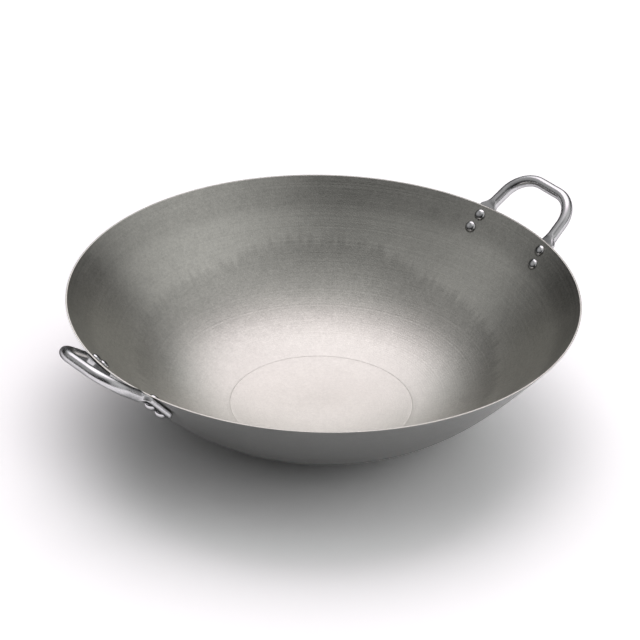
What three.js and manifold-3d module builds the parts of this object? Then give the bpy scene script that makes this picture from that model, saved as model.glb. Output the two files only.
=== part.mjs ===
// Two-handled wok: a thin spun titanium bowl with a bare rim, and two loop handles of bent steel bar.
// The flattened feet of each handle lie on the outside of the wall, held by two round-head rivets each.
// Millimetres, +Z up. The origin is the middle of the flat underside, and the handles lie along X.

import * as THREE from "three";
import { mergeVertices } from "three/addons/utils/BufferGeometryUtils.js";
import Module from "manifold-3d";

// Bowl. Radii and heights are those of the outside of the sheet.
const RIM_RADIUS = 210;
const RIM_HEIGHT = 107.5;
const RIM_SLOPE = 50; // degrees from level, where the wall ends
const FLAT_RADIUS = 15; // the small flat that the wok stands on
const LOWER_PULL = 107; // control arm of the wall's curve where it leaves the flat
const UPPER_PULL = 86.5; // control arm of the wall's curve where it reaches the rim
const SHEET = 1.2;

// Loop handles: round bar with both ends flattened to feet.
const BAR_DIAMETER = 9.5;
const HANDLE_REACH = 41.5; // from the bend at the rim to the middle of the grip, in the loop's plane
const HANDLE_RISE = 35.5; // degrees from level
const LEG_LEAN = 6; // degrees by which each leg leans towards the other
const GRIP_CORNER_RADIUS = 25;
const RIM_BEND_RADIUS = 20;
const FOOT_SPACING = 79; // between the middles of one handle's two feet
const FOOT_WIDTH = 17;
const FOOT_THICKNESS = 4.8;
const FOOT_TAIL = 6.7; // from the lower rivet's middle to the foot's end
const FOOT_CORNER_RADIUS = 4;
const FOOT_SET = 0.5; // how far the bar's centre line stands outside the foot's middle plane
const NARROWING_START = -2; // from the rim to where the foot's width starts to draw in
const SWELLING_START = 0.5; // from the rim to where the foot's thickness starts to swell
const FLARE_LENGTH = 7; // run in which the flat foot becomes the round bar

// Rivets: a shank with a round head at each end.
const RIVET_SHANK_DIAMETER = 5;
const RIVET_HEAD_DIAMETER = 9.6;
const OUTER_HEAD_HEIGHT = 3.1;
const INNER_HEAD_HEIGHT = 2.4;
const RIVET_PITCH = 12.8;
const RIVET_FROM_RIM = 8.9; // along the wall, from the rim to the upper rivet

// Gap left between neighbouring pieces.
const CLEARANCE = 0.3;

// How finely round shapes are cut into flats.
const BOWL_SIDES = 96;
const WALL_STEPS = 12;
const BAR_SIDES = 16;
const FOOT_END_STEPS = 4;
const FOOT_STEPS = 3;
const RIM_BEND_STEPS = 3;
const FLARE_STEPS = 6;
const GRIP_CORNER_STEPS = 9;
const RIVET_SIDES = 14;
const DOME_STEPS = 4;
const FOOT_SQUARENESS = 6; // power of the foot's section: 2 is an ellipse, more is squarer

const UP = new THREE.Vector3(0, 0, 1);
const HANDLE_NAMES = ["right", "left"];

const wasm = await Module();
wasm.setup();

const titanium = { color: 0x8c8a86, roughness: 0.42, metalness: 1 };
const polishedSteel = { color: 0xc4c4c6, roughness: 0.16, metalness: 1 };
const rivetSteel = { color: 0xd2d2d3, roughness: 0.12, metalness: 1 };

function toRadians(degrees) {
  return (degrees * Math.PI) / 180;
}

// Joins the seams of a geometry and drops the triangles that have no area.
function closedGeometry(geometry) {
  const bare = geometry.clone();
  bare.deleteAttribute("normal");
  bare.deleteAttribute("uv");
  const merged = mergeVertices(bare);
  const index = merged.index.array;
  const kept = [];
  for (let i = 0; i < index.length; i += 3) {
    const [a, b, c] = index.slice(i, i + 3);
    if (a !== b && b !== c && c !== a) kept.push(a, b, c);
  }
  merged.setIndex(kept);
  return merged;
}

function toSolid(geometry) {
  const closed = closedGeometry(geometry);
  return new wasm.Manifold(
    new wasm.Mesh({
      numProp: 3,
      vertProperties: Float32Array.from(closed.attributes.position.array),
      triVerts: Uint32Array.from(closed.index.array),
    }),
  );
}

function toGeometry(solid) {
  const mesh = solid.getMesh();
  const geometry = new THREE.BufferGeometry();
  geometry.setAttribute("position", new THREE.BufferAttribute(mesh.vertProperties, 3));
  geometry.setIndex(new THREE.BufferAttribute(mesh.triVerts, 1));
  geometry.computeVertexNormals();
  return geometry;
}

function namedMesh(name, geometry, material) {
  const mesh = new THREE.Mesh(geometry, new THREE.MeshStandardMaterial(material));
  mesh.name = name;
  return mesh;
}

// Turns a geometry made about the Y axis so that it stands about Z.
function lathed(profile, sides) {
  return new THREE.LatheGeometry(profile, sides).rotateX(Math.PI / 2);
}

// The outside of the wall in section, from the edge of the flat to the rim.
const rimEdge = new THREE.Vector2(RIM_RADIUS, RIM_HEIGHT);
const rimSlope = toRadians(RIM_SLOPE);
const wallCurve = new THREE.CubicBezierCurve(
  new THREE.Vector2(FLAT_RADIUS, 0),
  new THREE.Vector2(FLAT_RADIUS + LOWER_PULL, 0),
  new THREE.Vector2(Math.cos(rimSlope), Math.sin(rimSlope)).multiplyScalar(-UPPER_PULL).add(rimEdge),
  rimEdge,
);

// Closed section of the sheet: along the underside and up the outside, over the rim, which is cut level,
// and back down the inside.
function bowlSection() {
  const outside = [];
  const inside = [];
  for (let i = 0; i < WALL_STEPS; i++) {
    const point = wallCurve.getPointAt(i / WALL_STEPS);
    const along = wallCurve.getTangentAt(i / WALL_STEPS);
    const inward = new THREE.Vector2(-along.y, along.x);
    outside.push(point);
    inside.unshift(point.clone().addScaledVector(inward, SHEET));
  }
  const innerRimEdge = new THREE.Vector2(RIM_RADIUS - SHEET / Math.sin(rimSlope), RIM_HEIGHT);
  const underside = new THREE.Vector2(0, 0);
  const floorOfBowl = new THREE.Vector2(0, SHEET);
  return [underside, ...outside, rimEdge, innerRimEdge, ...inside, floorOfBowl];
}

// Direction of a leg in the loop's plane, on the +Y side of a handle that points along +X.
const legRise = toRadians(HANDLE_RISE);
const legLean = toRadians(LEG_LEAN);
const legAxis = new THREE.Vector3(
  Math.cos(legRise) * Math.cos(legLean),
  -Math.sin(legLean),
  Math.sin(legRise) * Math.cos(legLean),
);
const loopNormal = new THREE.Vector3(Math.sin(legRise), 0, -Math.cos(legRise));

// Place of the +Y foot: its middle on the wall, the wall's outward normal there, and the way up the foot,
// which is the leg's direction laid flat on the wall.
function footPlace() {
  const fromRim = RIVET_FROM_RIM + RIVET_PITCH / 2;
  const share = 1 - fromRim / wallCurve.getLength();
  const point = wallCurve.getPointAt(share);
  const along = wallCurve.getTangentAt(share);
  const turn = Math.asin(FOOT_SPACING / 2 / point.x);
  const outward = new THREE.Vector3(Math.cos(turn), Math.sin(turn), 0);
  const normal = outward.clone().multiplyScalar(along.y).addScaledVector(UP, -along.x);
  const upWall = outward.clone().multiplyScalar(along.x).addScaledVector(UP, along.y);
  const axis = legAxis.clone().projectOnPlane(normal).normalize();
  const middle = outward.clone().multiplyScalar(point.x).addScaledVector(UP, point.y);
  return { middle, normal, axis, toRim: fromRim / axis.dot(upWall) };
}

const foot = footPlace();
const footEnd = RIVET_PITCH / 2 + FOOT_TAIL;
const footSeat = CLEARANCE;
const footFace = footSeat + FOOT_THICKNESS;
const barHeight = footSeat + FOOT_THICKNESS / 2 + FOOT_SET;

// Point on the foot's line: how far up it from the foot's middle, and how far off the wall.
function footPoint(up, off) {
  return foot.middle.clone().addScaledVector(foot.axis, up).addScaledVector(foot.normal, off);
}

// Rounded turn of a bar at a corner, as a cubic curve with the arc's control arms.
function roundedTurn(corner, from, to, radius) {
  const angle = from.angleTo(to);
  const run = radius * Math.tan(angle / 2);
  const arm = run - (4 / 3) * Math.tan(angle / 4) * radius;
  return new THREE.CubicBezierCurve3(
    corner.clone().addScaledVector(from, -run),
    corner.clone().addScaledVector(from, -arm),
    corner.clone().addScaledVector(to, arm),
    corner.clone().addScaledVector(to, run),
  );
}

// Centre line of half a handle, from the end of the +Y foot to the middle of the grip, with its steps.
function halfLine() {
  const gripAxis = new THREE.Vector3(0, -1, 0);
  const end = footPoint(-footEnd, barHeight);
  const tail = footPoint(FOOT_CORNER_RADIUS - footEnd, barHeight);
  const bendCorner = footPoint(foot.toRim, barHeight);
  const gripCorner = bendCorner.clone().addScaledVector(legAxis, HANDLE_REACH / Math.cos(legLean));
  const gripMiddle = gripCorner.clone().setY(0);
  const bend = roundedTurn(bendCorner, foot.axis, legAxis, RIM_BEND_RADIUS);
  const turn = roundedTurn(gripCorner, legAxis, gripAxis, GRIP_CORNER_RADIUS);
  const flareEnd = bendCorner.clone().addScaledVector(legAxis, SWELLING_START + FLARE_LENGTH);
  return {
    bendAt: end.distanceTo(bendCorner),
    runs: [
      { curve: new THREE.LineCurve3(end, tail), steps: FOOT_END_STEPS },
      { curve: new THREE.LineCurve3(tail, bend.v0), steps: FOOT_STEPS },
      { curve: bend, steps: RIM_BEND_STEPS },
      { curve: new THREE.LineCurve3(bend.v3, flareEnd), steps: FLARE_STEPS },
      { curve: new THREE.LineCurve3(flareEnd, turn.v0), steps: 1 },
      { curve: turn, steps: GRIP_CORNER_STEPS },
      { curve: new THREE.LineCurve3(turn.v3, gripMiddle), steps: 1 },
    ],
  };
}

// Share of the foot's shape in a section past the rim: 1 is the flat foot and 0 the round bar.
function footShare(pastRim, start) {
  return 1 - THREE.MathUtils.smoothstep(pastRim, start, start + FLARE_LENGTH);
}

// Sections along half a handle.
function halfSections() {
  const { bendAt, runs } = halfLine();
  const sections = [];
  let travelled = 0;
  for (const { curve, steps } of runs) {
    for (let i = 0; i < steps; i++) {
      const along = curve.getTangent(i / steps);
      const fromEnd = travelled + (curve.getLength() * i) / steps;
      const wide = footShare(fromEnd - bendAt, NARROWING_START);
      const flat = footShare(fromEnd - bendAt, SWELLING_START);
      const across = loopNormal.clone().lerp(foot.normal, flat).projectOnPlane(along).normalize();
      const fromCorner = Math.max(FOOT_CORNER_RADIUS - fromEnd, 0);
      const cut = FOOT_CORNER_RADIUS - Math.sqrt(FOOT_CORNER_RADIUS ** 2 - fromCorner ** 2);
      sections.push({
        centre: curve.getPoint(i / steps).addScaledVector(across, -FOOT_SET * flat),
        along,
        across,
        halfWidth: THREE.MathUtils.lerp(BAR_DIAMETER, FOOT_WIDTH, wide) / 2 - cut,
        halfThickness: THREE.MathUtils.lerp(BAR_DIAMETER, FOOT_THICKNESS, flat) / 2,
        power: THREE.MathUtils.lerp(2, FOOT_SQUARENESS, flat),
      });
    }
    travelled += curve.getLength();
  }
  return sections;
}

// The same sections on the -Y side, in order from the grip to the end of the foot.
function mirrored(section) {
  const flip = new THREE.Vector3(1, -1, 1);
  return {
    ...section,
    centre: section.centre.clone().multiply(flip),
    along: section.along.clone().multiply(flip).negate(),
    across: section.across.clone().multiply(flip),
  };
}

// A straight round bar whose rings are moved to the sections of the handle.
function barGeometry(sections) {
  const last = sections.length - 1;
  const bar = closedGeometry(new THREE.CylinderGeometry(1, 1, 1, BAR_SIDES, last));
  const position = bar.attributes.position;
  const ring = new THREE.Vector3();
  for (let i = 0; i < position.count; i++) {
    ring.fromBufferAttribute(position, i);
    const section = sections[Math.round((0.5 - ring.y) * last)];
    const side = new THREE.Vector3().crossVectors(section.across, section.along);
    const stretch = (value) => Math.sign(value) * Math.abs(value) ** (2 / section.power);
    const place = section.centre.clone();
    place.addScaledVector(side, section.halfWidth * stretch(ring.x));
    place.addScaledVector(section.across, section.halfThickness * stretch(ring.z));
    position.setXYZ(i, place.x, place.y, place.z);
  }
  return bar;
}

// Seats of the rivet's heads along the foot's normal: on the foot outside and on the wall inside.
const outerSeat = footFace + CLEARANCE;
const innerSeat = -(SHEET + CLEARANCE);

// Section of a rivet about its own axis, from the top of the inside head to the top of the outside head.
function rivetSection() {
  const headRadius = RIVET_HEAD_DIAMETER / 2;
  const shankRadius = RIVET_SHANK_DIAMETER / 2;
  const inner = [];
  const outer = [];
  for (let i = 0; i <= DOME_STEPS; i++) {
    const angle = ((Math.PI / 2) * i) / DOME_STEPS;
    const radius = headRadius * Math.sin(angle);
    const rise = Math.cos(angle);
    inner.push(new THREE.Vector2(radius, innerSeat - INNER_HEAD_HEIGHT * rise));
    outer.unshift(new THREE.Vector2(radius, outerSeat + OUTER_HEAD_HEIGHT * rise));
  }
  const shank = [new THREE.Vector2(shankRadius, innerSeat), new THREE.Vector2(shankRadius, outerSeat)];
  return [...inner, ...shank, ...outer];
}

// Places of the two rivets of a foot, as distances up the foot from its middle.
const rivetPlaces = [
  { row: "upper", up: RIVET_PITCH / 2 },
  { row: "lower", up: -RIVET_PITCH / 2 },
];

// Where a rivet goes through the wall, and the turn that stands it on the wall there. Side 1 is the +Y foot
// and side -1 its mirror image.
function rivetPlace(up, side) {
  const flip = new THREE.Vector3(1, side, 1);
  return {
    point: footPoint(up, 0).multiply(flip),
    turn: new THREE.Quaternion().setFromUnitVectors(UP, foot.normal.clone().multiply(flip)),
  };
}

// Drills for one handle's four rivet holes, in the frame of the handle that points along +X.
function drills() {
  const length = 2 * (footFace + SHEET + RIVET_SHANK_DIAMETER);
  const radius = RIVET_SHANK_DIAMETER / 2 + CLEARANCE;
  const found = [];
  for (const side of [1, -1]) {
    for (const { up } of rivetPlaces) {
      const { point, turn } = rivetPlace(up, side);
      const drill = new THREE.CylinderGeometry(radius, radius, length, RIVET_SIDES).rotateX(Math.PI / 2);
      found.push(drill.applyQuaternion(turn).translate(point.x, point.y, point.z));
    }
  }
  return found;
}

function drilled(solid, tools) {
  return tools.reduce((rest, tool) => rest.subtract(toSolid(tool)), solid);
}

function bowlMesh() {
  const blank = toSolid(lathed(bowlSection(), BOWL_SIDES));
  const tools = [...drills(), ...drills().map((tool) => tool.rotateZ(Math.PI))];
  return namedMesh("bowl", toGeometry(drilled(blank, tools)), titanium);
}

function handleMesh(name) {
  const half = halfSections();
  const middle = halfLine().runs.at(-1).curve;
  const grip = { ...half.at(-1), centre: middle.getPoint(1), along: middle.getTangent(1) };
  const sections = [...half, grip, ...half.map(mirrored).reverse()];
  return namedMesh(name, toGeometry(drilled(toSolid(barGeometry(sections)), drills())), polishedSteel);
}

function rivetMesh(name, up, side) {
  const { point, turn } = rivetPlace(up, side);
  const rivet = namedMesh(name, closedGeometry(lathed(rivetSection(), RIVET_SIDES)), rivetSteel);
  rivet.position.copy(point);
  rivet.quaternion.copy(turn);
  return rivet;
}

// One handle with its rivets, modelled along +X and turned half round for the other side.
function handleGroup(handle, index) {
  const group = new THREE.Group();
  group.rotation.z = index * Math.PI;
  group.add(handleMesh(`${handle}_handle`));
  for (const side of [1, -1]) {
    const end = (side > 0) === (index === 0) ? "rear" : "front";
    for (const { row, up } of rivetPlaces) {
      group.add(rivetMesh(`${handle}_${end}_${row}_rivet`, up, side));
    }
  }
  return group;
}

const wok = new THREE.Group();
wok.add(bowlMesh());
HANDLE_NAMES.forEach((handle, index) => wok.add(handleGroup(handle, index)));

export default wok;
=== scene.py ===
# %% [markdown]
# # A titanium wok with two loop handles
#
# The wok is one thin sheet spun into a bowl, with a loop of bent steel bar riveted to each side. A
# measured model of it is already packed: every piece is there at its true size and place, cut into flat
# facets. This lesson makes the smooth pieces that are seen, each in the place of the measured one, and
# then finishes, lights and photographs them. All lengths are in metres, and the handles lie along X.

# %% Load the measured model
import math
from bisect import bisect

import bpy
from mathutils import Matrix, Quaternion, Vector
from mathutils.geometry import interpolate_bezier


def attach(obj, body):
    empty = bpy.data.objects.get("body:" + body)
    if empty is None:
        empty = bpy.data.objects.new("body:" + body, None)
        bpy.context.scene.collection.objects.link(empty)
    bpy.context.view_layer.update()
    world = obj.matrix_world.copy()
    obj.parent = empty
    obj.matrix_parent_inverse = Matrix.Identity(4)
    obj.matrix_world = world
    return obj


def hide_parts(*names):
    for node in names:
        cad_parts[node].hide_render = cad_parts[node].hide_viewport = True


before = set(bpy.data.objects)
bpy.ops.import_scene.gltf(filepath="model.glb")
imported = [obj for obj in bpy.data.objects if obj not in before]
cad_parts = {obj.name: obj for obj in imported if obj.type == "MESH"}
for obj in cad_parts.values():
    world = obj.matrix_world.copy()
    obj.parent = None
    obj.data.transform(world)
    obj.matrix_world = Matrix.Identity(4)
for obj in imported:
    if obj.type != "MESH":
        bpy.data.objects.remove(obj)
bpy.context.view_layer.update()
scene = bpy.context.scene
scene.view_settings.view_transform = "Standard"
print("Pieces of the measured model:", ", ".join(sorted(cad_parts)))

# %% [markdown]
# ## The camera
#
# The photograph was taken with a long lens from more than three metres away, so the rim is almost a true
# ellipse. Its tilt and its width give the camera's height and distance. The camera aims at the middle of
# the rim, which lies a little above the middle of the picture, so the lens is shifted by that much.

# %% Camera
RIM_RADIUS = 0.210
RIM_HEIGHT = 0.1075
PICTURE_WIDTH = 640  # pixels
FOCAL_LENGTH = 4213  # pixels
CAMERA_DISTANCE = 3.425
CAMERA_AZIMUTH = math.radians(-129.15)
CAMERA_ELEVATION = math.radians(29.88)
CAMERA_ROLL = math.radians(1.33)
RIM_MIDDLE_RIGHT = 3.7  # pixels from the middle of the picture to the middle of the rim
RIM_MIDDLE_UP = 23.3


def direction(azimuth, elevation):
    level = math.cos(elevation)
    return Vector((level * math.cos(azimuth), level * math.sin(azimuth), math.sin(elevation)))


def add_camera():
    lens = bpy.data.cameras.new("camera")
    lens.lens = FOCAL_LENGTH / PICTURE_WIDTH * lens.sensor_width
    lens.shift_x = -RIM_MIDDLE_RIGHT / PICTURE_WIDTH
    lens.shift_y = -RIM_MIDDLE_UP / PICTURE_WIDTH
    camera = bpy.data.objects.new("camera", lens)
    scene.collection.objects.link(camera)
    towards = direction(CAMERA_AZIMUTH, CAMERA_ELEVATION)
    camera.location = Vector((0, 0, RIM_HEIGHT)) + CAMERA_DISTANCE * towards
    upright = towards.to_track_quat("Z", "Y")
    camera.rotation_mode = "QUATERNION"
    camera.rotation_quaternion = upright @ Quaternion((0, 0, 1), CAMERA_ROLL)
    return camera


scene.camera = add_camera()
print(f"Camera: {scene.camera.data.lens:.0f} mm lens at {CAMERA_DISTANCE} m")

# %% [markdown]
# ## Building node trees
#
# Both the shapes and the finishes below are trees of nodes. One small helper adds a node, sets its
# options and either links each input or gives it a value. Others do sums with nodes, start a Geometry
# Nodes tree with named inputs, end it with the shape's finish, and run it on an object and keep the
# result as a plain mesh.

# %% Node helpers
def add_node(tree, kind, inputs=None, **options):
    node = tree.nodes.new(kind)
    for name, value in options.items():
        setattr(node, name, value)
    for socket, value in (inputs or {}).items():
        if isinstance(value, bpy.types.NodeSocket):
            tree.links.new(value, node.inputs[socket])
        else:
            node.inputs[socket].default_value = value
    return node


def add_math(tree, operation, *values):
    return add_node(tree, "ShaderNodeMath", dict(enumerate(values)), operation=operation).outputs[0]


def add_whole_math(tree, operation, *values):
    node = add_node(tree, "FunctionNodeIntegerMath", dict(enumerate(values)), operation=operation)
    return node.outputs[0]


def add_vector_math(tree, operation, *values, output=0):
    node = add_node(tree, "ShaderNodeVectorMath", dict(enumerate(values)), operation=operation)
    return node.outputs[output]


def scale_vector(tree, vector, size):
    inputs = {0: vector, "Scale": size}
    return add_node(tree, "ShaderNodeVectorMath", inputs, operation="SCALE").outputs[0]


def new_shape_tree(name, **inputs):
    tree = bpy.data.node_groups.new(name, "GeometryNodeTree")
    tree.interface.new_socket("Geometry", in_out="INPUT", socket_type="NodeSocketGeometry")
    for label, kind in inputs.items():
        tree.interface.new_socket(label, in_out="INPUT", socket_type=f"NodeSocket{kind}")
    tree.interface.new_socket("Geometry", in_out="OUTPUT", socket_type="NodeSocketGeometry")
    return tree, tree.nodes.new("NodeGroupInput").outputs


def end_shape_tree(tree, geometry, finish):
    inputs = {"Geometry": geometry, "Material": finish}
    finished = add_node(tree, "GeometryNodeSetMaterial", inputs).outputs[0]
    add_node(tree, "NodeGroupOutput", {0: finished})


def run_tree(piece, tree, **values):
    modifier = piece.modifiers.new(tree.name, "NODES")
    modifier.node_group = tree
    for item in tree.interface.items_tree:
        if item.in_out == "INPUT" and item.name in values:
            modifier[item.identifier] = values[item.name]
    evaluated = piece.evaluated_get(bpy.context.evaluated_depsgraph_get())
    mesh = bpy.data.meshes.new_from_object(evaluated)
    piece.modifiers.clear()
    piece.data = mesh


def add_points(name, points, edges=()):
    mesh = bpy.data.meshes.new(name)
    mesh.from_pydata([tuple(point) for point in points], edges, [])
    piece = bpy.data.objects.new(name, mesh)
    scene.collection.objects.link(piece)
    return piece


# %% [markdown]
# ## Spinning a section
#
# The bowl is spun, and a rivet is turned: both are one section carried round an axis. A Screw modifier
# could do it, but a small tree can serve both and be nested in others. It wraps a flat grid: each row of
# the grid takes the place of one point of the section, and each column is that point turned a little
# further about Z. Where the grid meets itself, and where it shrinks to a point on the axis, the doubles
# are merged.

# %% Tree: wrap a grid
MERGE_DISTANCE = 1e-6


def wrapped_grid(tree, rows, sides):
    """A grid, with the row of each of its points and the angle that the point is turned by."""
    columns = add_whole_math(tree, "ADD", sides, 1)
    grid = add_node(tree, "GeometryNodeMeshGrid", {"Vertices X": rows, "Vertices Y": columns}).outputs[0]
    index = add_node(tree, "GeometryNodeInputIndex").outputs[0]
    row = add_whole_math(tree, "DIVIDE_FLOOR", index, columns)
    column = add_whole_math(tree, "MODULO", index, columns)
    step = add_whole_math(tree, "MODULO", column, sides)
    angle = add_math(tree, "DIVIDE", add_math(tree, "MULTIPLY", step, math.tau), sides)
    return grid, row, angle


def row_value(tree, source, kind, value, row):
    """What the point of the source that belongs to a row has for a value."""
    inputs = {"Geometry": source, "Value": value, "Index": row}
    return add_node(tree, "GeometryNodeSampleIndex", inputs, data_type=kind).outputs[0]


def close_grid(tree, grid, place):
    moved = add_node(tree, "GeometryNodeSetPosition", {"Geometry": grid, "Position": place}).outputs[0]
    merge = {"Geometry": moved, "Distance": MERGE_DISTANCE}
    return add_node(tree, "GeometryNodeMergeByDistance", merge).outputs[0]


def point_count(tree, geometry):
    return add_node(tree, "GeometryNodeAttributeDomainSize", {"Geometry": geometry}).outputs["Point Count"]


# %% Tree: spin a section
def make_spin_tree():
    tree, given = new_shape_tree("spin_section", Sides="Int", Finish="Material")
    section = given["Geometry"]
    grid, row, angle = wrapped_grid(tree, point_count(tree, section), given["Sides"])
    position = add_node(tree, "GeometryNodeInputPosition").outputs[0]
    point = row_value(tree, section, "FLOAT_VECTOR", position, row)
    turn = {"Vector": point, "Angle": angle}
    place = add_node(tree, "ShaderNodeVectorRotate", turn, rotation_type="Z_AXIS").outputs[0]
    end_shape_tree(tree, close_grid(tree, grid, place), given["Finish"])
    return tree


spin_tree = make_spin_tree()
print("Tree:", spin_tree.name)

# %% [markdown]
# ## The wall's curve
#
# In section the wall leaves a small flat level, swings up and ends at the rim at 50 degrees. One Bezier
# curve says that with two control arms. Points are wanted at true distances along it, so it is first
# sampled finely and its length added up.

# %% Wall curve
FLAT_RADIUS = 0.015
LOWER_PULL = 0.107
UPPER_PULL = 0.0865
RIM_SLOPE = math.radians(50)
SHEET = 0.0012
CURVE_SAMPLES = 2000

rim_edge = Vector((RIM_RADIUS, RIM_HEIGHT))
wall_points = interpolate_bezier(
    Vector((FLAT_RADIUS, 0)),
    Vector((FLAT_RADIUS + LOWER_PULL, 0)),
    rim_edge - UPPER_PULL * Vector((math.cos(RIM_SLOPE), math.sin(RIM_SLOPE))),
    rim_edge,
    CURVE_SAMPLES,
)
wall_reach = [0.0]
for lower, upper in zip(wall_points, wall_points[1:]):
    wall_reach.append(wall_reach[-1] + (upper - lower).length)
wall_length = wall_reach[-1]


def on_wall(distance):
    """Point on the outside of the wall at a distance from the flat's edge, and the way up there."""
    i = min(max(bisect(wall_reach, distance), 1), CURVE_SAMPLES - 1)
    start, end = wall_points[i - 1], wall_points[i]
    share = (distance - wall_reach[i - 1]) / (wall_reach[i] - wall_reach[i - 1])
    return start.lerp(end, share), (end - start).normalized()


print(f"The wall is {wall_length:.3f} m long from the flat to the rim")

# %% [markdown]
# ## The bowl's section
#
# The sheet has one thickness all over. Its rim is cut level, so the cut edge faces up and shines as the
# bottom of the bowl does, as a thin bright line all round. Its corners are only eased. Inside, a fine
# ring is engraved round the bottom: a shallow round groove. Extra points close to the corners and the
# groove keep their curvature from spreading over the wall.

# %% Bowl section
RIM_EASING = 0.00015
EASING_STEPS = 4
WALL_END = wall_length - 2 * RIM_EASING  # where the points of the wall stop short of the eased rim
RING_RADIUS = 0.075
RING_HALF_WIDTH = 0.0004
RING_DEPTH = 0.00011
RING_STEPS = 6
OUTSIDE_STEPS = 44
INSIDE_STEPS = 72


def across_sheet(distance, depth):
    """Point of the sheet at a distance up the wall, and a depth in from its outside."""
    point, up = on_wall(distance)
    return point + depth * Vector((-up.y, up.x))


ring_reach = next(s for s in wall_reach if across_sheet(s, SHEET).x > RING_RADIUS)


def inside_depth(distance):
    off = min(abs(distance - ring_reach) / RING_HALF_WIDTH, 1)
    return SHEET - RING_DEPTH * (1 + math.cos(math.pi * off)) / 2


def rounded_turn(corner, before, after, radius):
    """The four control points of a Bezier arc that rounds a corner."""
    angle = before.angle(after)
    run = radius * math.tan(angle / 2)
    arm = run - 4 / 3 * math.tan(angle / 4) * radius
    return corner - run * before, corner - arm * before, corner + arm * after, corner + run * after


def eased_corner(corner, before, after):
    """A corner of the section rounded to the easing radius, from one side to the other."""
    arc = rounded_turn(corner, before, after, RIM_EASING)
    return interpolate_bezier(*arc, EASING_STEPS + 1)


def rim_points():
    """Over the rim from the outside to the inside: level, with both corners eased."""
    up = Vector((math.cos(RIM_SLOPE), math.sin(RIM_SLOPE)))
    level = Vector((-1, 0))
    inner_edge = rim_edge + SHEET / math.sin(RIM_SLOPE) * level
    return [*eased_corner(rim_edge, up, level), *eased_corner(inner_edge, level, -up)]


def bowl_section():
    outside = [across_sheet(WALL_END * i / OUTSIDE_STEPS, 0) for i in range(OUTSIDE_STEPS + 1)]
    reaches = [(WALL_END - SHEET) * i / INSIDE_STEPS for i in range(INSIDE_STEPS + 1)]
    ring = [ring_reach + RING_HALF_WIDTH * i / RING_STEPS for i in range(-RING_STEPS, RING_STEPS + 1)]
    reaches = [s for s in reaches if abs(s - ring_reach) > 2 * RING_HALF_WIDTH] + ring
    inside = [across_sheet(s, inside_depth(s)) for s in sorted(reaches, reverse=True)]
    section = [Vector((0, 0)), *outside, *rim_points(), *inside, Vector((0, SHEET))]
    return [Vector((point.x, 0, point.y)) for point in section]


bowl_points = bowl_section()
print(f"The bowl's section has {len(bowl_points)} points")

# %% [markdown]
# ## Where the handles sit
#
# Each loop's two feet lie flat on the outside of the wall just under the rim, and a line along each foot
# carries its two rivets. Both the rivets and the loops need this place, so it is worked out once, for the
# foot on the +Y side of the +X handle. The way up the foot is the leg's own direction, laid flat on the
# wall.

# %% Foot and leg
CLEARANCE = 0.0003
HANDLE_RISE = math.radians(35.5)
LEG_LEAN = math.radians(6)
FOOT_SPACING = 0.079
FOOT_THICKNESS = 0.0048
RIVET_FROM_RIM = 0.0089
RIVET_PITCH = 0.0128
UP = Vector((0, 0, 1))

leg_axis = direction(0, HANDLE_RISE) * math.cos(LEG_LEAN) - Vector((0, math.sin(LEG_LEAN), 0))
loop_normal = Vector((math.sin(HANDLE_RISE), 0, -math.cos(HANDLE_RISE)))
foot_from_rim = RIVET_FROM_RIM + RIVET_PITCH / 2
foot_spot, foot_slope = on_wall(wall_length - foot_from_rim)
outward = direction(math.asin(FOOT_SPACING / 2 / foot_spot.x), 0)
foot_normal = foot_slope.y * outward - foot_slope.x * UP
up_wall = foot_slope.x * outward + foot_slope.y * UP
foot_axis = (leg_axis - leg_axis.dot(foot_normal) * foot_normal).normalized()
foot_middle = foot_spot.x * outward + foot_spot.y * UP
foot_to_rim = foot_from_rim / foot_axis.dot(up_wall)


def foot_point(up, off):
    """Point on the foot's line: how far up it from the foot's middle, and how far off the wall."""
    return foot_middle + up * foot_axis + off * foot_normal


print("Middle of the foot on the wall:", [round(value, 4) for value in foot_middle])

# %% [markdown]
# ## Rivets
#
# Eight rivets hold the loops, each a short shank with a round head inside the bowl and a taller one
# outside. They repeat, so Geometry Nodes place them: a handful of points mark where they go through the
# wall, each point keeps the direction of its rivet, and the spin tree is nested to turn the rivet itself.

# %% Rivet section and places
SHANK_RADIUS = 0.0025
HEAD_RADIUS = 0.0048
OUTER_HEAD_HEIGHT = 0.0031
INNER_HEAD_HEIGHT = 0.0024
DOME_STEPS = 12
RIVET_SIDES = 40

outer_seat = CLEARANCE + FOOT_THICKNESS + CLEARANCE
inner_seat = -(SHEET + CLEARANCE)


def dome(seat, height):
    """A head in section, from its top to its edge."""
    angles = [math.pi / 2 * i / DOME_STEPS for i in range(DOME_STEPS + 1)]
    return [Vector((HEAD_RADIUS * math.sin(a), 0, seat + height * math.cos(a))) for a in angles]


def rivet_section():
    shank = [Vector((SHANK_RADIUS, 0, inner_seat)), Vector((SHANK_RADIUS, 0, outer_seat))]
    return [*dome(inner_seat, -INNER_HEAD_HEIGHT), *shank, *reversed(dome(outer_seat, OUTER_HEAD_HEIGHT))]


def rivet_places():
    """Each rivet's point on the wall and its direction, for both feet of both handles."""
    places = []
    for up in (RIVET_PITCH / 2, -RIVET_PITCH / 2):
        for flip in (Vector((1, 1, 1)), Vector((1, -1, 1)), Vector((-1, 1, 1)), Vector((-1, -1, 1))):
            places.append((foot_point(up, 0) * flip, foot_normal * flip))
    return places


# %% Tree: rivets on points
def along_axis(tree):
    axis = add_node(tree, "GeometryNodeInputNamedAttribute", {"Name": "axis"}, data_type="FLOAT_VECTOR")
    turn = {"Vector": axis.outputs["Attribute"]}
    return add_node(tree, "FunctionNodeAlignRotationToVector", turn, axis="Z").outputs[0]


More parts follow.
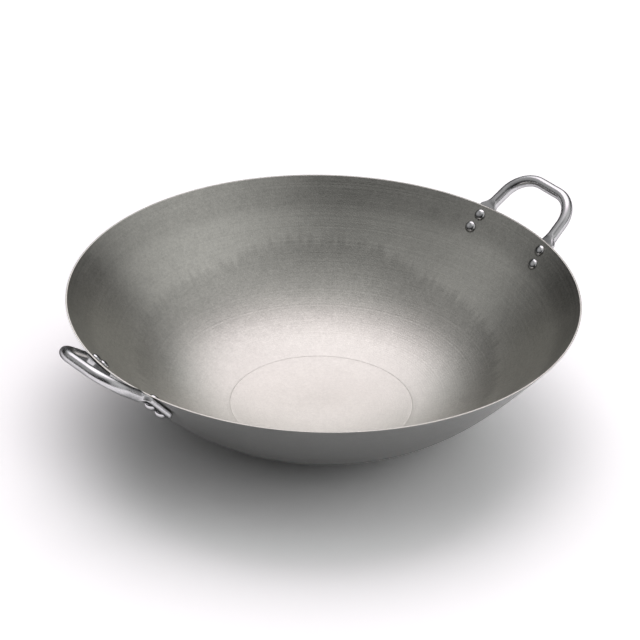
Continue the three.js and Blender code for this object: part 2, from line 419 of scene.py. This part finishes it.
def put_on_points(tree, points, shape):
    inputs = {"Points": points, "Instance": shape, "Rotation": along_axis(tree)}
    placed = add_node(tree, "GeometryNodeInstanceOnPoints", inputs).outputs[0]
    return add_node(tree, "GeometryNodeRealizeInstances", {"Geometry": placed}).outputs[0]


def object_shape(tree, shape):
    return add_node(tree, "GeometryNodeObjectInfo", {"Object": shape}).outputs["Geometry"]


def make_rivet_tree():
    tree, given = new_shape_tree("rivets_on_points", Section="Object", Sides="Int", Finish="Material")
    turned = {0: object_shape(tree, given["Section"]), 1: given["Sides"], 2: given["Finish"]}
    rivet = add_node(tree, "GeometryNodeGroup", turned, node_tree=spin_tree).outputs[0]
    end_shape_tree(tree, put_on_points(tree, given["Geometry"], rivet), given["Finish"])
    return tree


rivet_tree = make_rivet_tree()
print("Tree:", rivet_tree.name)

# %% [markdown]
# ## Rivet holes
#
# The bowl and the feet are drilled where the rivets pass. The same points carry the drills, and a boolean
# takes them away, so a hole can't miss its rivet.

# %% Tree: drill on points
DRILL_LENGTH = 0.04
DRILL_SIDES = 32


def make_drill_tree():
    tree, given = new_shape_tree("drill_on_points", Places="Object", Radius="Float", Finish="Material")
    sizes = {"Vertices": DRILL_SIDES, "Radius": given["Radius"], "Depth": DRILL_LENGTH}
    drill = add_node(tree, "GeometryNodeMeshCylinder", sizes).outputs["Mesh"]
    drills = put_on_points(tree, object_shape(tree, given["Places"]), drill)
    meshes = {"Mesh 1": given["Geometry"], "Mesh 2": drills}
    cut = add_node(tree, "GeometryNodeMeshBoolean", meshes, operation="DIFFERENCE", solver="MANIFOLD")
    end_shape_tree(tree, cut.outputs[0], given["Finish"])
    return tree


drill_tree = make_drill_tree()
print("Tree:", drill_tree.name)

# %% [markdown]
# ## The loops
#
# A loop is one length of round bar. Its ends are forged flat and follow the wall, then it bends up at the
# rim, and two wide corners carry it across as the grip. The bar follows a path, so Geometry Nodes wrap
# it: a line of points gives the path, and each point keeps the size, the squareness and the two
# directions of the bar's section there. Half the path is worked out and the other half is its mirror
# image.

# %% Path of the bar
BAR_DIAMETER = 0.0095
HANDLE_REACH = 0.04138  # a hair under the measured loop, whose flat facets lie inside the round bar
GRIP_CORNER_RADIUS = 0.025
RIM_BEND_RADIUS = 0.020
FOOT_WIDTH = 0.017
FOOT_TAIL = 0.0067
FOOT_CORNER_RADIUS = 0.004
FOOT_SET = 0.0005
NARROWING_START = -0.002
SWELLING_START = 0.0005
FLARE_LENGTH = 0.007
FOOT_EDGE = 0.0006  # easing of the foot's end
EDGE_STEPS = 6
CORNER_STEPS = 8
FOOT_STEPS = 8
BEND_STEPS = 8
FLARE_STEPS = 16
LEG_STEPS = 6
TURN_STEPS = 28
GRIP_STEPS = 6

bar_height = CLEARANCE + FOOT_THICKNESS / 2 + FOOT_SET
foot_end = RIVET_PITCH / 2 + FOOT_TAIL


def straight(start, end, steps):
    return [start.lerp(end, i / steps) for i in range(steps)]


def rounded(arc, steps):
    return interpolate_bezier(*arc, steps + 1)[:-1]


def half_path():
    """Points from the end of the +Y foot to the middle of the grip, and how far off the bend is."""
    end = foot_point(-foot_end, bar_height)
    edge = foot_point(FOOT_EDGE - foot_end, bar_height)
    tail = foot_point(FOOT_CORNER_RADIUS - foot_end, bar_height)
    bend_corner = foot_point(foot_to_rim, bar_height)
    grip_corner = bend_corner + HANDLE_REACH / math.cos(LEG_LEAN) * leg_axis
    bend = rounded_turn(bend_corner, foot_axis, leg_axis, RIM_BEND_RADIUS)
    turn = rounded_turn(grip_corner, leg_axis, Vector((0, -1, 0)), GRIP_CORNER_RADIUS)
    flare_end = bend_corner + (SWELLING_START + FLARE_LENGTH) * leg_axis
    grip_middle = grip_corner * Vector((1, 0, 1))
    points = [*straight(end, edge, EDGE_STEPS), *straight(edge, tail, CORNER_STEPS)]
    points += [*straight(tail, bend[0], FOOT_STEPS), *rounded(bend, BEND_STEPS)]
    points += [*straight(bend[3], flare_end, FLARE_STEPS), *straight(flare_end, turn[0], LEG_STEPS)]
    points += [*rounded(turn, TURN_STEPS), *straight(turn[3], grip_middle, GRIP_STEPS)]
    return points, (bend_corner - end).length


def smooth_step(value, start, length):
    share = min(max((value - start) / length, 0), 1)
    return share * share * (3 - 2 * share)


def quarter_cut(distance, radius):
    """How far a rounded corner is cut back at a distance from the end."""
    left = max(radius - distance, 0)
    return radius - math.sqrt(radius * radius - left * left)


def blend_sizes(start, end, share):
    return start + (end - start) * share


# %% Sections of the bar
ROUND_POWER = 2  # the section is a superellipse, round at this power
FOOT_POWER = 6  # and nearly square at this one


def half_sections():
    """The bar's sections from the closed end of the foot to the middle of the grip."""
    points, bend_at = half_path()
    sections = []
    travelled = 0
    for i, point in enumerate(points):
        before, after = points[max(i - 1, 0)], points[min(i + 1, len(points) - 1)]
        travelled += (point - before).length
        along = (after - before).normalized()
        wide = 1 - smooth_step(travelled - bend_at, NARROWING_START, FLARE_LENGTH)
        flat = 1 - smooth_step(travelled - bend_at, SWELLING_START, FLARE_LENGTH)
        across = loop_normal.lerp(foot_normal, flat)
        across = (across - across.dot(along) * along).normalized()
        edge = quarter_cut(travelled, FOOT_EDGE)
        sections.append({
            "centre": point - FOOT_SET * flat * across,
            "side": across.cross(along),
            "across": across,
            "half_width": blend_sizes(BAR_DIAMETER, FOOT_WIDTH, wide) / 2
            - quarter_cut(travelled, FOOT_CORNER_RADIUS) - edge,
            "half_thickness": blend_sizes(BAR_DIAMETER, FOOT_THICKNESS, flat) / 2 - edge,
            "stretch": ROUND_POWER / blend_sizes(ROUND_POWER, FOOT_POWER, flat),
        })
    closed_end = {**sections[0], "half_width": 0, "half_thickness": 0}
    return [closed_end, *sections]


def mirrored(section):
    flip = Vector((1, -1, 1))
    return {**section, **{name: section[name] * flip for name in ("centre", "side", "across")}}


def loop_sections():
    half = half_sections()
    return [*half, *(mirrored(section) for section in reversed(half))]


bar_sections = loop_sections()
print(f"A loop has {len(bar_sections)} sections")

# %% Tree: bar along a path
BAR_SIDES = 48


def stretched(tree, value, power):
    """A sine or cosine pushed out towards a square, keeping its sign."""
    size = add_math(tree, "POWER", add_math(tree, "ABSOLUTE", value), power)
    return add_math(tree, "MULTIPLY", size, add_math(tree, "SIGN", value))


def make_bar_tree():
    tree, given = new_shape_tree("bar_along_path", Sides="Int", Finish="Material")
    path = given["Geometry"]
    grid, row, angle = wrapped_grid(tree, point_count(tree, path), given["Sides"])

    def kept(name, kind):
        attribute = add_node(tree, "GeometryNodeInputNamedAttribute", {"Name": name}, data_type=kind)
        return row_value(tree, path, kind, attribute.outputs["Attribute"], row)

    power = kept("stretch", "FLOAT")
    sideways = stretched(tree, add_math(tree, "COSINE", angle), power)
    outwards = stretched(tree, add_math(tree, "SINE", angle), power)
    sideways = add_math(tree, "MULTIPLY", sideways, kept("half_width", "FLOAT"))
    outwards = add_math(tree, "MULTIPLY", outwards, kept("half_thickness", "FLOAT"))
    position = add_node(tree, "GeometryNodeInputPosition").outputs[0]
    place = row_value(tree, path, "FLOAT_VECTOR", position, row)
    for name, size in (("side", sideways), ("across", outwards)):
        step = scale_vector(tree, kept(name, "FLOAT_VECTOR"), size)
        place = add_vector_math(tree, "ADD", place, step)
    end_shape_tree(tree, close_grid(tree, grid, place), given["Finish"])
    return tree


bar_tree = make_bar_tree()
print("Tree:", bar_tree.name)

# %% [markdown]
# ## Titanium
#
# The sheet is bare titanium, grey with a little warmth. Spinning and brushing have left their traces
# inside: fine turned lines, and a paler belt round the upper wall whose lower edge breaks up into short
# upright streaks. Below the belt the wall is darker in a band, and under the rim in a margin, both more so
# on one side. The belt runs a little off the axis. The metal itself has a sandy grain, fainter in the
# bottom. The outside has no belt, band or margin, and is a more neutral grey; it is also painted darker
# than the inside, as painted shade that stands in for the shadowed paper under the wok which it reflects.
# An image of the wall could show all that, but here it is worked out from Object coordinates, from the
# distance to the axis and the direction from it, so it goes round the bowl as the tool did. Each pattern
# shifts a single tone, which then picks a colour between a dark and a light grey.

# %% Finish: helpers
NOISE_LOW = 0.3  # most of a noise lies between these two
NOISE_HIGH = 0.7


def new_finish(name):
    finish = bpy.data.materials.new(name)
    finish.use_nodes = True
    tree = finish.node_tree
    return finish, tree, tree.nodes["Principled BSDF"]


def noise(tree, vector, size, detail=2.0, dimensions="3D", roughness=0.5):
    inputs = {"Scale": 1 / size, "Detail": detail, "Roughness": roughness}
    inputs["W" if dimensions == "1D" else "Vector"] = vector
    return add_node(tree, "ShaderNodeTexNoise", inputs, noise_dimensions=dimensions).outputs[0]


def spread(tree, value, low, high):
    """Carries a noise value from its usual range to a range of choice."""
    inputs = {"Value": value, "From Min": NOISE_LOW, "From Max": NOISE_HIGH, "To Min": low, "To Max": high}
    return add_node(tree, "ShaderNodeMapRange", inputs).outputs[0]


def rise_between(tree, value, start, end):
    """0 below the start, 1 above the end, and a smooth rise between them."""
    inputs = {"Value": value, "From Min": start, "From Max": end}
    return add_node(tree, "ShaderNodeMapRange", inputs, interpolation_type="SMOOTHSTEP").outputs[0]


def bump(tree, height, depth, normal=None):
    node = add_node(tree, "ShaderNodeBump", {"Height": height, "Distance": depth})
    if normal:
        tree.links.new(normal, node.inputs["Normal"])
    return node.outputs[0]


def mix_colours(tree, share, dark, light):
    # A Mix node has sockets for each kind of value: 6 and 7 take two colours, and 2 gives their mixture.
    inputs = {"Factor": share, 6: dark, 7: light}
    return add_node(tree, "ShaderNodeMix", inputs, data_type="RGBA").outputs[2]


def add_up(tree, first, *terms):
    """Adds to a first value each of the others times its weight."""
    total = first
    for value, weight in terms:
        total = add_math(tree, "MULTIPLY_ADD", value, weight, total)
    return total


def distance_from(tree, place, middle):
    """Level distance from an upright axis."""
    off = add_vector_math(tree, "MULTIPLY", add_vector_math(tree, "SUBTRACT", place, middle), (1, 1, 0))
    return add_vector_math(tree, "LENGTH", off, output="Value")


# %% Finish: traces of the tool
BELT_MIDDLE = (0.0064, 0.0142, 0)  # the belt's lower edge is a ring that lies a little off the axis
BELT_START = (0.144, 0.153)  # radii between which the belt sets in
BELT_END = (0.184, 0.194)
BELT_LIFT = 0.008  # how much later it sets in on its high side
HIGH_SIDE = direction(math.radians(51), 0)
HIGH_LIMITS = (0.85, 1)  # cosines of the angle from that side between which the lift grows
STREAK_WIDTH = 0.006
STREAK_LENGTH = 0.0045
BAND_START = (0.120, 0.146)  # radii between which the dull band under the belt sets in
MARGIN = (0.187, 0.199)  # radii between which the wall darkens towards the rim
DARKER_SIDE = direction(math.radians(-30), 0)  # the band and the margin are strongest on this side
DARKER_LIMITS = (-1.2, 0.7)


def streaks(tree, way):
    """Noise that only changes with the direction from the axis."""
    return noise(tree, way, STREAK_WIDTH / BELT_START[0], detail=3, roughness=0.6)


def share_on_side(tree, way, side, limits):
    """0 where a direction is far from a side of the bowl, 1 where it is close to it."""
    facing = add_vector_math(tree, "DOT_PRODUCT", way, side, output="Value")
    return rise_between(tree, facing, *limits)


def belt_band_and_margin(tree, place, radius):
    """The pale belt, the darker band below it and the dark margin above it, each from 0 to 1."""
    way = add_vector_math(tree, "NORMALIZE", add_vector_math(tree, "MULTIPLY", place, (1, 1, 0)))
    ragged = spread(tree, streaks(tree, way), -STREAK_LENGTH, STREAK_LENGTH)
    on_high_side = share_on_side(tree, way, HIGH_SIDE, HIGH_LIMITS)
    on_darker_side = share_on_side(tree, way, DARKER_SIDE, DARKER_LIMITS)
    reach = add_up(tree, distance_from(tree, place, BELT_MIDDLE), (ragged, 1), (on_high_side, -BELT_LIFT))
    edge = rise_between(tree, reach, *BELT_START)
    belt = add_math(tree, "SUBTRACT", edge, rise_between(tree, radius, *BELT_END))
    band = add_math(tree, "SUBTRACT", rise_between(tree, radius, *BAND_START), edge)
    band = add_math(tree, "MULTIPLY", add_math(tree, "MAXIMUM", band, 0.0), on_darker_side)
    margin = add_math(tree, "MULTIPLY", rise_between(tree, radius, *MARGIN), on_darker_side)
    return belt, band, margin


# %% Finish: grain of the sheet
GRAIN_SIZE = 0.0009
SPECK_SIZE = 0.0024
MOTTLE_SIZE = 0.009
LINE_SPACING = 0.0014
GRAIN_TONE = 0.115  # how far each pattern shifts the tone
SPECK_TONE = 0.09
MOTTLE_TONE = 0.05
LINE_TONE = 0.04


def grain_and_lines(tree, place, radius):
    """The sandy grain, the turned lines, and the texture that they make with specks and mottle."""
    grain = spread(tree, noise(tree, place, GRAIN_SIZE, detail=1), -1, 1)
    specks = spread(tree, noise(tree, place, SPECK_SIZE, detail=2), -1, 1)
    mottle = spread(tree, noise(tree, place, MOTTLE_SIZE, detail=3), -1, 1)
    lines = spread(tree, noise(tree, radius, LINE_SPACING, dimensions="1D"), -1, 1)
    sandy = add_up(tree, 0.0, (grain, GRAIN_TONE), (specks, SPECK_TONE))
    return grain, lines, add_up(tree, sandy, (mottle, MOTTLE_TONE), (lines, LINE_TONE))


# %% Finish: titanium sheet
INSIDE_DARK = (0.30, 0.297, 0.276, 1)
INSIDE_LIGHT = (0.70, 0.693, 0.643, 1)
# Painted shade: the outside greys are darker than the inside ones, for the shadowed paper it reflects
OUTSIDE_SHADED_DARK = (0.20, 0.20, 0.197, 1)
OUTSIDE_SHADED_LIGHT = (0.45, 0.45, 0.444, 1)
MIDDLE_TONE = 0.5
CLOUD_SIZE = 0.045
CLOUD_TONE = 0.03
BELT_TONE = 0.2
BAND_TONE = -0.14
MARGIN_TONE = -0.2
SMOOTH_BOTTOM = (0.08, 0.125)  # radii between which the texture grows to its full strength
BOTTOM_TEXTURE = 0.55  # its strength in the bottom
OUTSIDE_TEXTURE = 0.5
EDGE_BLEND = 0.2  # how far up or down a face looks before it is wholly inside or outside
SHEET_ROUGHNESS = 0.35
ROUGHNESS_CHANGE = 0.02
LINE_DEPTH = 0.00001
GRAIN_DEPTH = 0.00002


def facing_up(tree):
    """1 on the inside of the bowl and on its rim, 0 on the outside."""
    normal = add_node(tree, "ShaderNodeTexCoord").outputs["Normal"]
    upright = add_vector_math(tree, "DOT_PRODUCT", normal, UP, output="Value")
    return rise_between(tree, upright, -EDGE_BLEND, EDGE_BLEND)


def inside_colour(tree, place, radius, cloud, texture):
    belt, band, margin = belt_band_and_margin(tree, place, radius)
    wall = rise_between(tree, radius, *SMOOTH_BOTTOM)
    strength = add_up(tree, BOTTOM_TEXTURE, (wall, 1 - BOTTOM_TEXTURE))
    tone = add_up(tree, MIDDLE_TONE, (belt, BELT_TONE), (band, BAND_TONE), (margin, MARGIN_TONE))
    tone = add_up(tree, tone, (cloud, CLOUD_TONE), (texture, strength))
    return mix_colours(tree, tone, INSIDE_DARK, INSIDE_LIGHT)


# The outside's colour, darkened as painted shade for the shadowed paper under the wok.
def outside_shaded_colour(tree, cloud, texture):
    tone = add_up(tree, MIDDLE_TONE, (cloud, CLOUD_TONE), (texture, OUTSIDE_TEXTURE))
    return mix_colours(tree, tone, OUTSIDE_SHADED_DARK, OUTSIDE_SHADED_LIGHT)


def titanium_sheet():
    finish, tree, shader = new_finish("titanium_sheet")
    place = add_node(tree, "ShaderNodeTexCoord").outputs["Object"]
    radius = distance_from(tree, place, (0, 0, 0))
    grain, lines, texture = grain_and_lines(tree, place, radius)
    cloud = spread(tree, noise(tree, place, CLOUD_SIZE, detail=3), -1, 1)
    inside = inside_colour(tree, place, radius, cloud, texture)
    outside = outside_shaded_colour(tree, cloud, texture)
    tree.links.new(mix_colours(tree, facing_up(tree), outside, inside), shader.inputs["Base Color"])
    roughness = add_up(tree, SHEET_ROUGHNESS, (cloud, ROUGHNESS_CHANGE), (lines, ROUGHNESS_CHANGE))
    tree.links.new(roughness, shader.inputs["Roughness"])
    normal = bump(tree, grain, GRAIN_DEPTH, bump(tree, lines, LINE_DEPTH))
    tree.links.new(normal, shader.inputs["Normal"])
    shader.inputs["Metallic"].default_value = 1
    return finish


titanium = titanium_sheet()
print("Finish:", titanium.name)

# %% [markdown]
# ## Polished steel
#
# The loops and the rivets are polished stainless steel, the rivets brighter than the loops. A plain
# mirror would look like a drawing of steel, so a noise makes the polish a little uneven, and a finer one
# adds the small scratches of handling.

# %% Finish: steel
STEEL_DARK = (0.55, 0.55, 0.56, 1)
STEEL_LIGHT = (0.68, 0.68, 0.69, 1)
# Painted shade: the steel's shine where it turns away is cut almost to black, for dark surroundings
STEEL_PAINTED_EDGE_SHADE = (0.05, 0.05, 0.05, 1)  # how much steel still shines where it turns away
HANDLE_ROUGHNESS = 0.24
RIVET_ROUGHNESS = 0.12
SMOOTHER = 0.03  # how far the polish goes below and above that
DULLER = 0.05
POLISH_SIZE = 0.006
SCRATCH_SIZE = 0.0007
SCRATCH_DEPTH = 0.000004


def polished_steel(name, roughness):
    finish, tree, shader = new_finish(name)
    place = add_node(tree, "ShaderNodeTexCoord").outputs["Object"]
    polish = noise(tree, place, POLISH_SIZE, detail=4)
    scratch = noise(tree, place, SCRATCH_SIZE, detail=2)
    uneven = spread(tree, polish, roughness - SMOOTHER, roughness + DULLER)
    tree.links.new(mix_colours(tree, polish, STEEL_DARK, STEEL_LIGHT), shader.inputs["Base Color"])
    tree.links.new(uneven, shader.inputs["Roughness"])
    tree.links.new(bump(tree, scratch, SCRATCH_DEPTH), shader.inputs["Normal"])
    shader.inputs["Specular Tint"].default_value = STEEL_PAINTED_EDGE_SHADE
    shader.inputs["Metallic"].default_value = 1
    return finish


handle_steel = polished_steel("handle_steel", HANDLE_ROUGHNESS)
rivet_steel = polished_steel("rivet_steel", RIVET_ROUGHNESS)
print("Finishes:", handle_steel.name, rivet_steel.name)

# %% [markdown]
# ## Making the pieces
#
# The trees now run. Each result becomes a plain mesh, its faces are turned outwards, and only edges
# sharper than the angle here are left sharp. Then the piece takes the place of its measured node.

# %% Finishing a piece
SHARP_ANGLE = math.radians(40)
BODY = "root"


def enclosed_volume(mesh):
    mesh.calc_loop_triangles()
    total = 0
    for triangle in mesh.loop_triangles:
        a, b, c = (mesh.vertices[i].co for i in triangle.vertices)
        total += a.dot(b.cross(c)) / 6
    return total


def dress(piece, slot, *nodes):
    mesh = piece.data
    if enclosed_volume(mesh) < 0:
        mesh.flip_normals()
    mesh.shade_smooth()
    mesh.set_sharp_from_angle(angle=SHARP_ANGLE)
    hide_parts(*nodes)
    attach(piece, BODY)
    print(f"{piece.name}: {len(mesh.loop_triangles)} triangles, {enclosed_volume(mesh) * 1e6:.1f} cm3")


def chain(count):
    return [(i, i + 1) for i in range(count - 1)]


# %% Rivets
rivet_marks = add_points("rivets", [point for point, axis in rivet_places()])
axes = rivet_marks.data.attributes.new("axis", "FLOAT_VECTOR", "POINT")
for mark, (point, axis) in zip(axes.data, rivet_places()):
    mark.vector = axis
drill_marks = rivet_marks.copy()
drill_marks.data = rivet_marks.data.copy()
scene.collection.objects.link(drill_marks)
turned = rivet_section()
rivet_profile = add_points("rivet_profile", turned, chain(len(turned)))
run_tree(rivet_marks, rivet_tree, Section=rivet_profile, Sides=RIVET_SIDES, Finish=rivet_steel)
dress(rivet_marks, "rivet_steel", *(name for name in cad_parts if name.endswith("rivet")))

# %% Bowl
BOWL_SIDES = 288
bowl = add_points("spun_bowl", bowl_points, chain(len(bowl_points)))
run_tree(bowl, spin_tree, Sides=BOWL_SIDES, Finish=titanium)
run_tree(bowl, drill_tree, Places=drill_marks, Radius=SHANK_RADIUS + CLEARANCE, Finish=titanium)
dress(bowl, "titanium_sheet", "bowl")

# %% Loops
def make_loop(name):
    loop = add_points(name, [section["centre"] for section in bar_sections], chain(len(bar_sections)))
    for label in ("side", "across"):
        data = loop.data.attributes.new(label, "FLOAT_VECTOR", "POINT").data
        for mark, section in zip(data, bar_sections):
            mark.vector = section[label]
    for label in ("half_width", "half_thickness", "stretch"):
        data = loop.data.attributes.new(label, "FLOAT", "POINT").data
        for mark, section in zip(data, bar_sections):
            mark.value = section[label]
    run_tree(loop, bar_tree, Sides=BAR_SIDES, Finish=handle_steel)
    run_tree(loop, drill_tree, Places=drill_marks, Radius=SHANK_RADIUS + CLEARANCE, Finish=handle_steel)
    return loop


right_loop = make_loop("right_loop")
left_loop = make_loop("left_loop")
left_loop.data.transform(Matrix.Rotation(math.pi, 4, "Z"))
dress(right_loop, "handle_steel", "right_handle")
dress(left_loop, "handle_steel", "left_handle")
for helper in (drill_marks, rivet_profile):
    bpy.data.objects.remove(helper)

# %% [markdown]
# ## Floor and light
#
# The wok stands on white paper. The lamps are set for the metal, and under them plain paper would look
# grey. So for rays from the camera and from shiny metal the paper grows brighter away from a place under
# the wok, off its axis, until it is just white. Near that place it is left plain grey: a painted shadow
# round the wok, set off the axis towards the side that the lamps leave dim, which the outside of the wok
# and the loops also reflect. The wok's own shadow falls on it as on any paper. The room itself gives the
# light: soft round patches of it shine, as the lamps and white screens of a studio do.

# %% Floor
FLOOR_SIZE = 30
PAPER = (0.8, 0.8, 0.8, 1)
WHITE_PAPER = (1.55, 1.56, 1.56, 1)  # white under the light that falls on the open floor
# Painted shadow: near this place, off the axis on the dim side, the paper stays grey for camera and metal
PAINTED_SHADOW_MIDDLE = (-0.0543, 0.0442, 0)  # where the paper stays plain, away from the stronger side lamps
PAINTED_SHADOW_RADIUS = 0.02
WHITE_RADIUS = 0.22


def white_paper():
    finish = bpy.data.materials.new("white_paper")
    finish.use_nodes = True
    tree = finish.node_tree
    tree.nodes.clear()
    place = add_node(tree, "ShaderNodeTexCoord").outputs["Object"]
    reach = distance_from(tree, place, PAINTED_SHADOW_MIDDLE)
    path = add_node(tree, "ShaderNodeLightPath").outputs
    seen = add_math(tree, "MAXIMUM", path["Is Camera Ray"], path["Is Glossy Ray"])
    seen = add_math(tree, "MAXIMUM", seen, path["Is Transmission Ray"])
    # Painted shadow: the paper is plain grey near that place and white only further out.
    share = add_math(tree, "MULTIPLY", seen, rise_between(tree, reach, PAINTED_SHADOW_RADIUS, WHITE_RADIUS))
    colour = mix_colours(tree, share, PAPER, WHITE_PAPER)
    paper = add_node(tree, "ShaderNodeBsdfDiffuse", {"Color": colour}).outputs[0]
    add_node(tree, "ShaderNodeOutputMaterial", {"Surface": paper})
    return finish


def add_floor():
    half = FLOOR_SIZE / 2
    mesh = bpy.data.meshes.new("floor")
    corners = [(-half, -half, 0), (half, -half, 0), (half, half, 0), (-half, half, 0)]
    mesh.from_pydata(corners, [], [(0, 1, 2, 3)])
    mesh.materials.append(white_paper())
    floor = bpy.data.objects.new("floor", mesh)
    scene.collection.objects.link(floor)


add_floor()
print(f"Floor: {FLOOR_SIZE} m of paper")

# %% Light
BACK = CAMERA_AZIMUTH + math.pi  # lights are turned from here, to the left of the picture
UNLIT_ROOM = (0.01, 0.01, 0.01)


def grey(level):
    return (level, level, level)


def soft_light(tree, towards, turn, rise, core, fade, colour):
    """Light from a round patch of the room, full in its core and gone past its fade, in degrees."""
    middle = direction(BACK + math.radians(turn), math.radians(rise))
    facing = add_vector_math(tree, "DOT_PRODUCT", towards, middle, output="Value")
    outer = math.cos(math.radians(core + fade))
    inner = math.cos(math.radians(core))
    return scale_vector(tree, colour, rise_between(tree, facing, outer, inner))


def room_lights(tree, towards):
    window = [
        soft_light(tree, towards, -4, 58, 22, 13, (0.82, 0.63, 0.73)),
        soft_light(tree, towards, -4, 48, 24, 12, (0.85, 0.92, 0.91)),
        soft_light(tree, towards, -6, 36, 4, 14, (0.50, 0.46, 0.46)),
    ]
    right_lamps = [
        soft_light(tree, towards, -75, 45, 5, 35, grey(0.36)),
        soft_light(tree, towards, -110, 31, 1, 56, grey(0.30)),
        soft_light(tree, towards, -140, 25, 5, 40, grey(0.30)),
    ]
    left_lamps = [
        soft_light(tree, towards, 85, 60, 25, 32, grey(0.29)),
        soft_light(tree, towards, 80, 34, 6, 20, grey(0.14)),
        soft_light(tree, towards, 38, 52, 5, 18, grey(0.10)),
    ]
    overhead = soft_light(tree, towards, 0, 90, 10, 25, grey(0.49))
    return [*window, *right_lamps, *left_lamps, overhead]


def light_room():
    room = bpy.data.worlds.new("studio")
    room.use_nodes = True
    tree = room.node_tree
    towards = add_node(tree, "ShaderNodeTexCoord").outputs["Generated"]
    lights = room_lights(tree, towards)
    total = UNLIT_ROOM
    for light in lights:
        total = add_vector_math(tree, "ADD", total, light)
    tree.links.new(total, tree.nodes["Background"].inputs["Color"])
    scene.world = room
    print(f"Room: {len(lights)} soft lights")


light_room()
